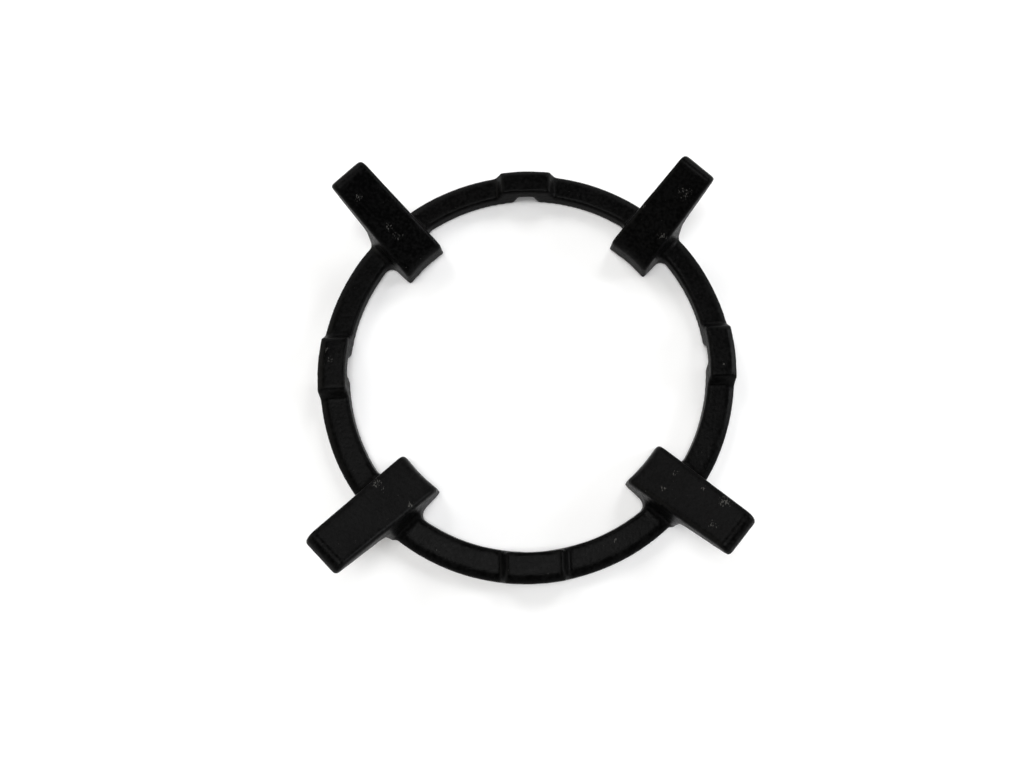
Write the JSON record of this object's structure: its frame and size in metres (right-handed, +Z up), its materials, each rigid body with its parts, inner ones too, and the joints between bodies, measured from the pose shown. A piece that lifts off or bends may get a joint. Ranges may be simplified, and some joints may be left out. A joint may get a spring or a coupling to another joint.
{
  "type": "wok stand",
  "caption": "Flat cast-iron ring with inclined lugs that cradle a round-bottomed wok, and raised bridges over notches that seat on a gas hob's pan support.",
  "frame": {"origin": "on the ring's axis, in the plane of its underside", "axes": "+Z up along the ring's axis; X and Y through the middles of the raised bridges, with the lugs halfway between"},
  "size_m": [0.181, 0.181, 0.0387],
  "materials": {
    "cast_iron": "matt black, with a fine cast grain"
  },
  "bodies": {
    "root": {"stand_casting": "cast_iron"}
  },
  "joints": []
}
